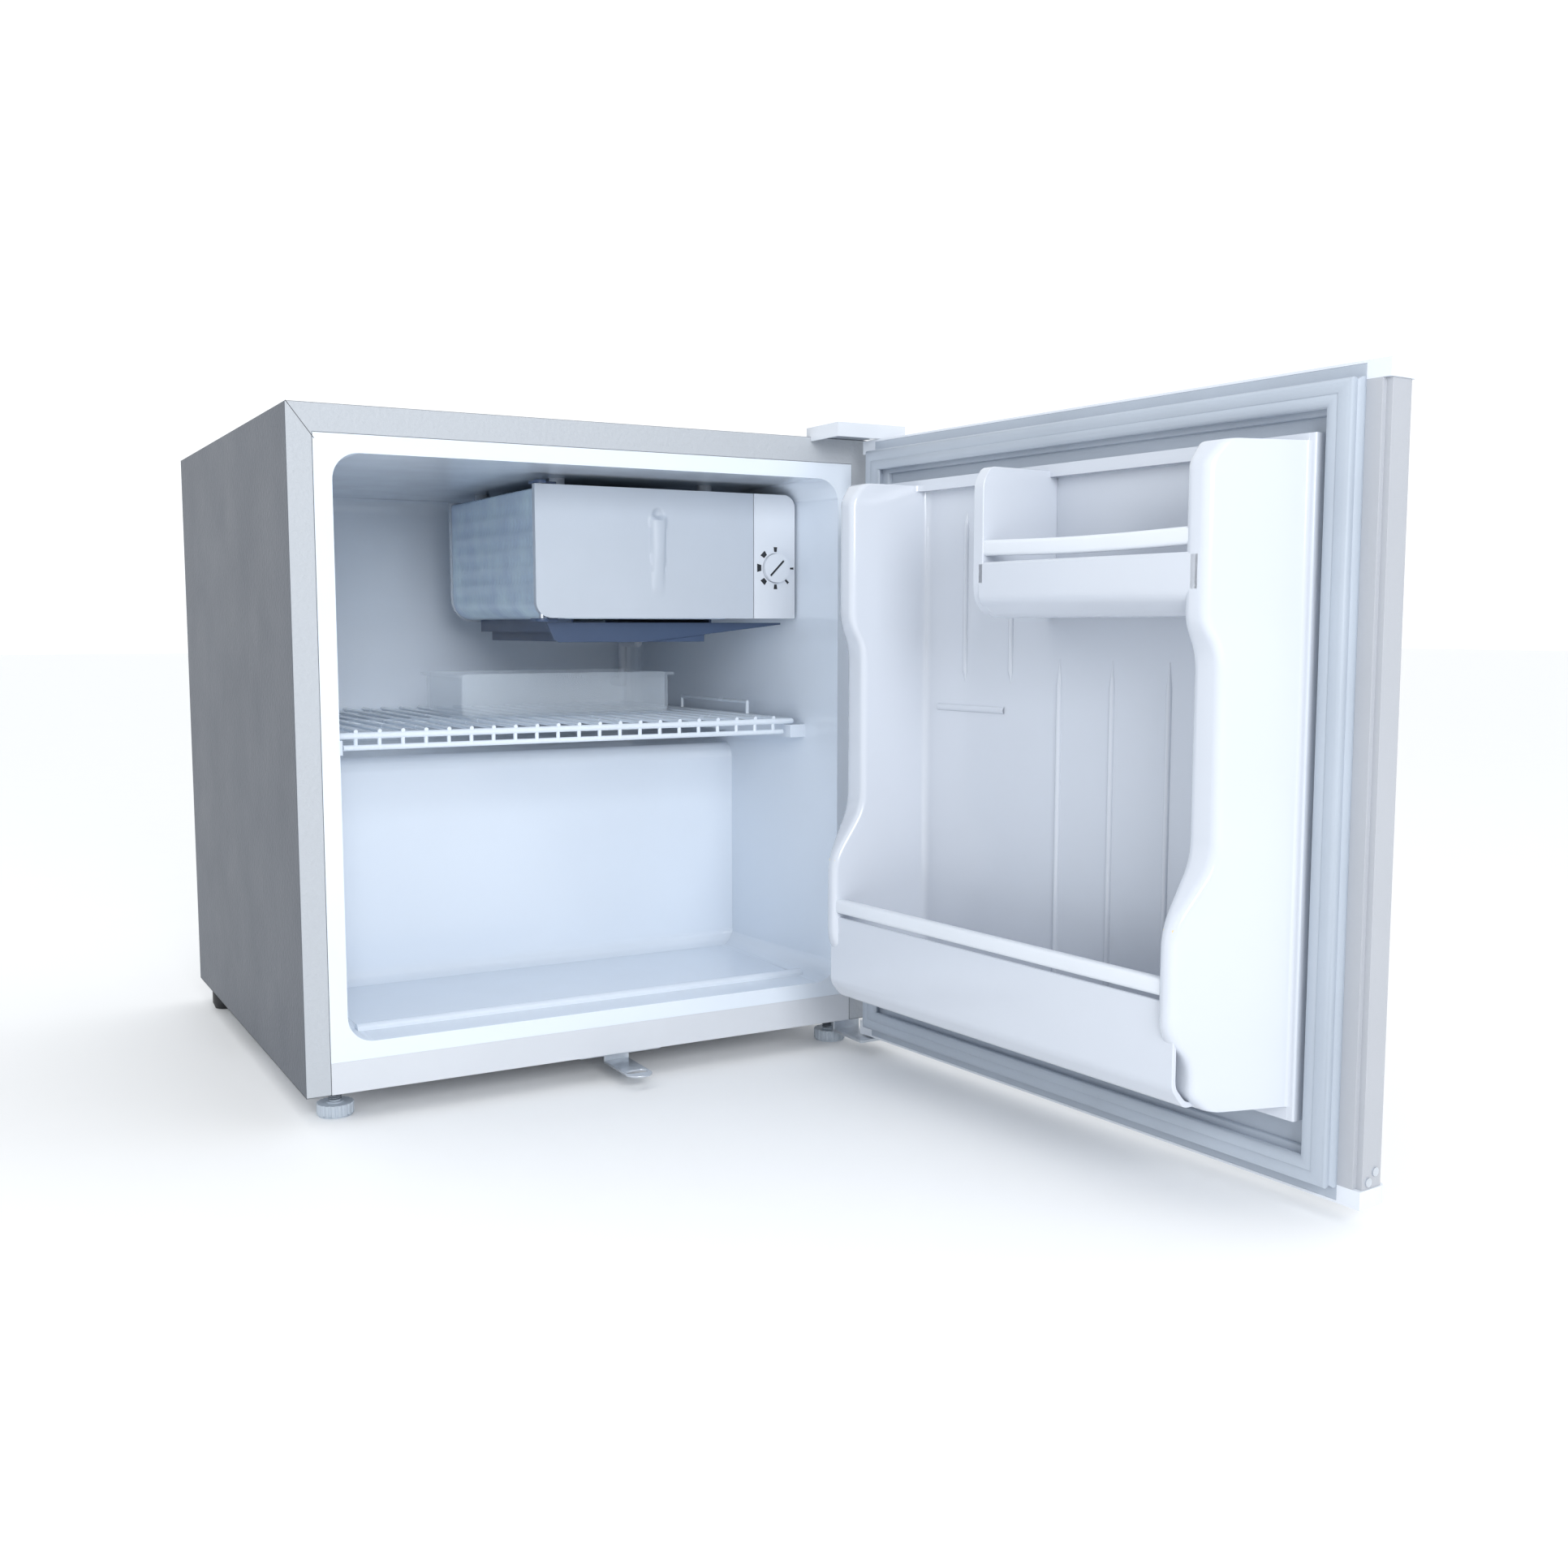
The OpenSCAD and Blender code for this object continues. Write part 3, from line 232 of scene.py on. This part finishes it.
# ---------- mesh helpers: points in mm, in cabinet or shut-door coordinates ----------
def piece(name, points, faces, shade, body, stands_for=(), where=cab, bevel=0.0, angle=32):
    mesh = bpy.data.meshes.new(name)
    mesh.from_pydata([where(*p) for p in points], [], faces)
    bm = bmesh.new()
    bm.from_mesh(mesh)
    bmesh.ops.remove_doubles(bm, verts=bm.verts, dist=0.000005)
    bmesh.ops.recalc_face_normals(bm, faces=bm.faces)
    bm.to_mesh(mesh)
    bm.free()
    mesh.materials.append(M[shade])
    o = bpy.data.objects.new(name, mesh)
    bpy.context.collection.objects.link(o)
    if bevel:
        edge = o.modifiers.new("edge", "BEVEL")
        edge.width = bevel / 1000
        edge.segments = 3
        edge.limit_method = "ANGLE"
        edge.angle_limit = math.radians(28)
    mesh.shade_smooth()
    mesh.set_sharp_from_angle(angle=math.radians(angle))
    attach(o, body)
    if stands_for:
        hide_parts(*stands_for)
    return o


def strip(rows, closed=False, caps=False):
    """Faces that join rows of equally many points."""
    n = len(rows[0])
    points = [p for row in rows for p in row]
    across = n if closed else n - 1
    faces = [(r * n + i, r * n + (i + 1) % n, (r + 1) * n + (i + 1) % n, (r + 1) * n + i)
             for r in range(len(rows) - 1) for i in range(across)]
    if caps:
        faces += [tuple(range(n)), tuple(range((len(rows) - 1) * n, len(rows) * n))]
    return points, faces


def joined(*parts):
    points, faces = [], []
    for more, cells in parts:
        faces += [tuple(i + len(points) for i in f) for f in cells]
        points += more
    return points, faces


def extruded(outline, lo, hi, put):
    """A prism: outline in two axes, run from lo to hi; put(a, b, t) gives the point."""
    return strip([[put(a, b, t) for a, b in outline] for t in (lo, hi)], closed=True, caps=True)


def rounded(corners, n=5):
    """An open path whose inner corners (a, b, radius) are turned into arcs."""
    out = [Vector(corners[0][:2])]
    for before, here, after in zip(corners, corners[1:], corners[2:]):
        c = Vector(here[:2])
        u, v = (Vector(before[:2]) - c), (Vector(after[:2]) - c)
        cut = min(here[2], u.length * 0.48, v.length * 0.48)
        a, b = c + u.normalized() * cut, c + v.normalized() * cut
        out += [a.lerp(c, t).lerp(c.lerp(b, t), t) for t in (i / n for i in range(n + 1))]
    return out + [Vector(corners[-1][:2])]


def cross_wall(a, b, t):
    return (t, a, b)


# ---------- moulded door liner ----------
CAB_W = 446                            # width of the cabinet, for what is mirrored
BACK = -12                             # back of the door's pan
SLAB = (32, 414, 37, 420)              # X and Z limits of the raised slab
SLAB_Y = -1                            # its face
LEAN = 0.357                           # of a side wall's outer face
WALL_ROOT, WALL_LEAN = 78.0, 0.082     # of its inner face
RECESS = -8.0                          # depth between the side walls
RECESS_Z = (50, 412)
WALL_Z = (45, 416)                     # ends of the side walls


def liner_row(z, rise, back):
    """Half of a level section through the liner, from its left edge to the middle."""
    foot = SLAB[0] + 4
    top = max(rise, -0.9)
    path = [(SLAB[0], BACK, 0), (SLAB[0], SLAB_Y, 1.5), (foot + LEAN, SLAB_Y, 3.0),
            (foot + LEAN * (top + 2), top, 5), (WALL_ROOT - WALL_LEAN * (top + 13), top, 5),
            (WALL_ROOT - WALL_LEAN * (back + 13), back, 6), (CAB_W / 2, back, 0)]
    return [(p.x, p.y, z) for p in rounded(path)]


def door_liner_shell():
    low, high = WALL_Z
    crest = rounded([(SLAB[2], SLAB_Y, 0), (low, SLAB_Y, 1.5), (low, 46, 4), (low + 10, 56, 4), (73, 56, 9),
                     (90, 70, 9), (150, 70, 12), (186, 46, 12), (300, 46, 9), (318, 56, 7),
                     (high - 12, 56, 5), (high, 46, 4), (high, SLAB_Y, 1.5), (SLAB[3], SLAB_Y, 0)], n=7)
    rows = [[(x, BACK, z) for x, _, z in liner_row(SLAB[2], SLAB_Y, SLAB_Y)]]
    for p, ahead in zip(crest, crest[1:] + crest[-1:]):
        rows.append(liner_row(p.x, p.y, RECESS if RECESS_Z[0] < p.x < RECESS_Z[1] else SLAB_Y))
        for z, depths in zip(RECESS_Z, ((SLAB_Y, RECESS), (RECESS, SLAB_Y))):
            if p.x < z < ahead.x:
                rise = p.lerp(ahead, (z - p.x) / (ahead.x - p.x)).y
                rows += [liner_row(z, rise, depth) for depth in depths]
    rows.append([(x, BACK, z) for x, _, z in liner_row(SLAB[3], SLAB_Y, SLAB_Y)])
    full = [row + [(CAB_W - x, y, z) for x, y, z in reversed(row[:-1])] for row in rows]
    return strip(full)


def half_round(x, z0, z1):
    """An upright rib on the recess that tapers at both ends."""
    width, high, taper, steps = 2.1, 2.0, 5, 14
    rows = []
    for k in range(steps + 1):
        z = z0 + (z1 - z0) * k / steps
        end = min(1, (z - z0) / taper + 0.02, (z1 - z) / taper + 0.02)
        across, out = width * end ** 0.5, high * end ** 0.5
        rows.append([(x + across * math.cos(a), RECESS - 0.05 + out * math.sin(a), z)
                     for a in (math.pi * i / 8 for i in range(9))])
    return strip(rows)


ribs = [half_round(x, 60, 294) for x in (137, 184, 231)]
ribs += [half_round(x, 277, 395) for x in (278, 325, 368)]
ledge = strip([[(x, RECESS - 0.05 + 1.6 * math.sin(a), 258 + 2.4 * math.cos(a))
                for a in (math.pi * i / 8 for i in range(9))] for x in range(284, 355, 5)])
piece("door_liner_shell", *joined(door_liner_shell(), *ribs, ledge), "door_liner", "door",
      ["door_liner"], door, angle=38)

def liner_flange():
    """Sheet round the slab that carries the gasket, from its outer edge in to the slab. It is door-liner
    plastic but takes the darker gasket colour as painted shade.
    """
    rows = []
    for y, (a, b, c, d) in ((BACK - 1, (10, 436, -4, 454.5)), (BACK - 0.3, (10, 436, -4, 454.5)),
                            (BACK - 0.05, (10.4, 435.6, -3.6, 454.1)),
                            (BACK - 0.05, (SLAB[0] + 1, SLAB[1] - 1, SLAB[2] + 1, SLAB[3] - 1))):
        rows.append([(a, y, c), (b, y, c), (b, y, d), (a, y, d)])
    return strip(rows, closed=True)


# The flange takes the gasket colour, darker than the door liner: painted shade on the band round the slab.
piece("liner_flange_sheet", *liner_flange(), "gasket", "door", ["door_liner"], door)

# profiles in Y and Z, each corner with its radius
pocket = rounded([(RECESS, 321, 0), (44, 321, 4), (56, 332, 4), (56, 356, 1.4), (53, 356, 1.4),
                  (53, 334, 4), (43, 324, 4), (RECESS, 324, 0)], n=4)
end_wall = rounded([(RECESS, 321, 0), (56, 321, 22), (56, 406, 4), (50, 416, 4), (RECESS, 416, 0)], n=8)
rack = rounded([(RECESS, 47, 0), (56, 47, 4), (66, 59, 4), (66, 108, 1.4), (63, 108, 1.4),
                (63, 60, 4), (54, 50, 4), (RECESS, 50, 0)], n=5)
piece("pocket_shell",
      *joined(extruded(pocket, 62, 240, cross_wall), extruded(end_wall, 236, 245, cross_wall)),
      "door_liner", "door", ["door_liner"], door, bevel=1.2)
piece("bottle_rack_shell", *extruded(rack, 62, 384, cross_wall), "door_liner", "door", ["door_liner"], door,
      bevel=0.5)


# ---------- rails of the racks, the pocket's slightly bowed ---
def rail(name, x0, x1, y0, y1, z0, z1, node, bow):
    corner = rounded([(y0, (z0 + z1) / 2, 0), (y0, z1, 2.2), (y1, z1, 2.6), (y1, z0, 2.6), (y0, z0, 2.2),
                      (y0, (z0 + z1) / 2, 0)], n=4)[:-1]
    rows = []
    for k in range(25):
        t = k / 24
        sag = bow * math.sin(math.pi * t)
        rows.append([(x0 + (x1 - x0) * t, p.x, p.y - sag) for p in corner])
    piece(name, *strip(rows, closed=True, caps=True), "white", "door", [node], door)


rail("pocket_bar", 70, 237, 49, 55.5, 360, 370, "pocket_rail", 1.4)
rail("bottle_bar", 64, 382, 61, 68, 111, 121, "bottle_rail", 0.0)


# ---------- door gasket with its bellows ----------
def gasket():
    # inward from the outer edge, and height above the pan
    section = [(0, 0), (0, 2.6), (1.6, 4.4), (1.0, 6.4), (0.6, 8.6), (1.6, 10.6), (3.6, 11.6), (8.2, 11.7),
               (8.9, 11.2), (9.6, 11.7), (13.4, 11.6), (15.2, 10.6), (15.9, 8.6), (15.0, 6.4), (14.6, 4.8),
               (16.4, 4.0), (17.8, 3.9), (18.5, 3.0), (18.5, 0)]
    rows = []
    for u, v in section:
        lip = 2.3 * max(0, (u - 14) / 4.5)
        a, b, c, d = 10.5 + u + lip, 435.5 - u - lip, 3.5 + u, 447.5 - u
        y = v + BACK
        rows.append([(a, y, c), (b, y, c), (b, y, d), (a, y, d)])
    rows.append(rows[0])
    return strip(rows, closed=True)


piece("gasket_bellows", *gasket(), "gasket", "door", ["door_gasket"], door, angle=50)


# ---------- freezer box: dimpled sheet, flap, dial ----------
BOX = (205, 372, 322, 421)             # X and Z limits
BOX_Y = (76, 300)
DIMPLE = (14, 7, 1.5)                  # pitch along the wrap and along Y, height


def evaporator_sheet():
    x0, x1, z0, z1 = BOX
    seam_x = x0 + 80
    outline = rounded([(seam_x, z1, 0), (x0, z1, 3), (x0, z0, 19), (x1, z0, 19), (x1, z1, 3),
                       (seam_x, z1, 0)], n=9)
    path, step = [], 1.3               # step between the grid's lines
    for a, b in zip(outline, outline[1:]):
        n = max(1, int((b - a).length / step))
        path += [a.lerp(b, i / n) for i in range(n)]
    path.append(outline[-1])
    run, total = [0], 0
    for a, b in zip(path, path[1:]):
        total += (b - a).length
        run.append(total)
    rows, count = [], 172
    for k in range(count + 1):
        y = BOX_Y[0] + (BOX_Y[1] - BOX_Y[0]) * k / count
        row = []
        for i, p in enumerate(path):
            ahead, behind = path[min(i + 1, len(path) - 1)], path[max(i - 1, 0)]
            side = (ahead - behind).normalized()
            inward = Vector((-side.y, side.x))
            swell = DIMPLE[2] * math.sin(math.pi * run[i] / DIMPLE[0]) ** 2
            swell *= math.cos(math.pi * (y - BOX_Y[0]) / DIMPLE[1]) ** 2
            edge = min(1, (y - BOX_Y[0] - 2) / 6, (BOX_Y[1] - 2 - y) / 6)
            q = p + inward * swell * max(0, edge)
            row.append((q.x, y, q.y))
        rows.append(row)
    return strip(rows)


sheet = piece("evaporator_sheet", *evaporator_sheet(), "evaporator", "cabinet", ["evaporator"], angle=60)
thick = sheet.modifiers.new("thickness", "SOLIDIFY")
thick.thickness = 0.0012
thick.offset = 0

FLAP = (192, 376, 322, 421)
FLAP_Y = 62.0
FLAP_DEEP = 6                          # thickness at its rim
GRIP_X = 292


def flap_front(x, z):
    """Depth of the flap's front face: a slight crown with an upright grip that tapers downwards."""
    low, high = 338, 397
    y = FLAP_Y + 0.7 * ((x - 284) / 92) ** 2
    if low < z < high + 4:
        t = (z - low) / (high - low)
        half = 4.5 + 2.5 * t
        across = max(0, 1 - ((x - GRIP_X) / half) ** 2)
        y -= 3.4 * across ** 0.5 * min(1, t * 1.6, (high + 4 - z) / 4)
    dip = math.hypot((x - GRIP_X) / 4.8, (z - 402) / 4.6)
    return y + (3 * (1 - dip * dip) if dip < 1 else 0)


def flap_shell():
    radius, rows = 12, []
    zs = [FLAP[2] + (FLAP[3] - FLAP[2]) * k / 99 for k in range(100)]
    for z in zs:
        down = max(0, radius - (z - FLAP[2]))
        left = FLAP[0] + radius - math.sqrt(max(0, radius * radius - down * down))
        xs = [left + (FLAP[1] - left) * i / 150 for i in range(151)]
        rim = [(left, FLAP_Y + FLAP_DEEP, z), (left, FLAP_Y + 1.6, z)]
        far = [(FLAP[1], FLAP_Y + 1.6, z), (FLAP[1], FLAP_Y + FLAP_DEEP, z)]
        rows.append(rim + [(x, flap_front(x, z), z) for x in xs] + far)
    bottom = [(x, FLAP_Y + FLAP_DEEP, z) for x, _, z in rows[0]]
    top = [(x, FLAP_Y + FLAP_DEEP, z) for x, _, z in rows[-1]]
    points, faces = strip([bottom] + rows + [top])
    n = len(rows[0])
    faces += [(r * n, r * n + n - 1, (r + 1) * n + n - 1, (r + 1) * n) for r in range(len(rows) + 1)]
    return points, faces


piece("flap_shell", *flap_shell(), "satin", "flap", ["freezer_flap"], angle=40)

DIAL = (396.0, 362.4)


def dial_marks(count=7):
    """Wedges round the dial, widest at the coldest setting."""
    parts = []
    for k in range(count):
        a = math.radians(90 + 45 * k)
        wide = 0.9 + 2.4 * math.exp(-((k - 2) / 1.8) ** 2)
        inner, outer = 13.0, 16.8
        ring = [(DIAL[0] + r * math.cos(a) + w * math.sin(a), DIAL[1] + r * math.sin(a) - w * math.cos(a))
                for r, w in ((inner, -wide * 0.7), (outer, -wide), (outer, wide), (inner, wide * 0.7))]
        parts.append(extruded(ring, FLAP_Y - 0.15, FLAP_Y + 0.2, lambda u, v, t: (u, t, v)))
    return joined(*parts)


piece("dial_marks", *dial_marks(), "mark", "cabinet")


def knob_slot_shade():
    """Dark strip on the bottom of the slot that a coin turns: painted shade in the recess."""
    ring = [(DIAL[0] + (u + v) * 0.7071, DIAL[1] + (u - v) * 0.7071)
            for u, v in ((-8.5, -0.85), (8.5, -0.85), (8.5, 0.85), (-8.5, 0.85))]
    return extruded(ring, FLAP_Y - 2.9, FLAP_Y - 2.75, lambda u, v, t: (u, t, v))


piece("knob_slot_shade", *knob_slot_shade(), "mark", "knob")


# ---------- seam of the front flange, stem threads ----------
def seam(x0, x1):
    lean = (x1 - x0, -23)
    size = math.hypot(*lean)
    nx, nz = lean[1] / size * 0.22, -lean[0] / size * 0.22
    ring = [(x0 + nx, 460 + nz), (x1 + nx, 437 + nz), (x1 - nx, 437 - nz), (x0 - nx, 460 - nz)]
    return extruded(ring, -0.03, 0.3, lambda u, v, t: (u, t, v))


piece("flange_seam", *seam(0.6, 18), "mark", "cabinet")


def thread(cx, cy, z0, z1, pitch=1.25, turns_pts=20):
    count = int((z1 - z0) / pitch * turns_pts)
    rows = []
    for i in range(count + 1):
        a, z = math.tau * i / turns_pts, z0 + pitch * i / turns_pts
        rows.append([(cx + r * math.cos(a), cy + r * math.sin(a), z + dz)
                     for r, dz in ((3.9, -0.6), (4.55, 0), (3.9, 0.6))])
    return strip(rows, closed=True)


for name, x in (("foot_left", 24), ("foot_right", 422)):
    piece(name + "_thread", *thread(x, 22, -9.3, -3.4 if name == "foot_right" else -0.7), "thread", name)


# ---------- floor, light and camera ----------
def studio_floor(size, shade):
    mesh = bpy.data.meshes.new("studio_floor")
    h = size / 2
    mesh.from_pydata([(-h, -h, 0), (h, -h, 0), (h, h, 0), (-h, h, 0)], [], [(0, 1, 2, 3)])
    mesh.materials.append(shade)
    o = bpy.data.objects.new("studio_floor", mesh)
    bpy.context.collection.objects.link(o)


studio_floor(40, material("studio_floor", (0.95, 0.955, 0.96), 0.65, tone=0.004, grain=60, bump=0.01))


def area_light(name, where, target, size, power, colour):
    data = bpy.data.lights.new(name, "AREA")
    data.shape = "RECTANGLE"
    data.size, data.size_y = size
    data.energy = power
    data.color = colour
    o = bpy.data.objects.new(name, data)
    bpy.context.collection.objects.link(o)
    o.location = where
    o.rotation_euler = (Vector(target) - Vector(where)).to_track_quat("-Z", "Y").to_euler()


area_light("window", (-0.45, -2.1, 0.95), (0.05, -0.05, 0.22), (0.9, 0.9), 26, (0.98, 0.99, 1.0))


def studio_world():
    """White behind and above the object and dimmer in front of it."""
    world = bpy.data.worlds.new("studio")
    bpy.context.scene.world = world
    world.use_nodes = True
    n, link = world.node_tree.nodes, world.node_tree.links.new
    ray = n.new("ShaderNodeTexCoord")
    facing = n.new("ShaderNodeVectorMath")
    facing.operation = "DOT_PRODUCT"
    facing.inputs[1].default_value = (-0.10, 0.80, 0.55)
    link(ray.outputs["Generated"], facing.inputs[0])
    level = n.new("ShaderNodeMapRange")
    level.inputs["From Min"].default_value = -0.7
    level.inputs["From Max"].default_value = 0.3
    level.inputs["To Min"].default_value = 0.35
    level.inputs["To Max"].default_value = 1.16
    link(facing.outputs["Value"], level.inputs["Value"])
    sky = n["Background"]
    sky.inputs["Color"].default_value = (0.96, 0.98, 1.0, 1)
    link(level.outputs["Result"], sky.inputs["Strength"])


studio_world()

lens = bpy.data.cameras.new("camera")
camera = bpy.data.objects.new("camera", lens)
bpy.context.collection.objects.link(camera)
camera.location = cab(-223.1, -1037.0, 315.3)
camera.rotation_euler = (math.radians(90 - 5.797), 0, math.radians(-29.71))
lens.sensor_width = 36
lens.lens = 35.54
lens.clip_start = 0.01
bpy.context.scene.camera = camera
bpy.context.scene.view_settings.view_transform = "Standard"
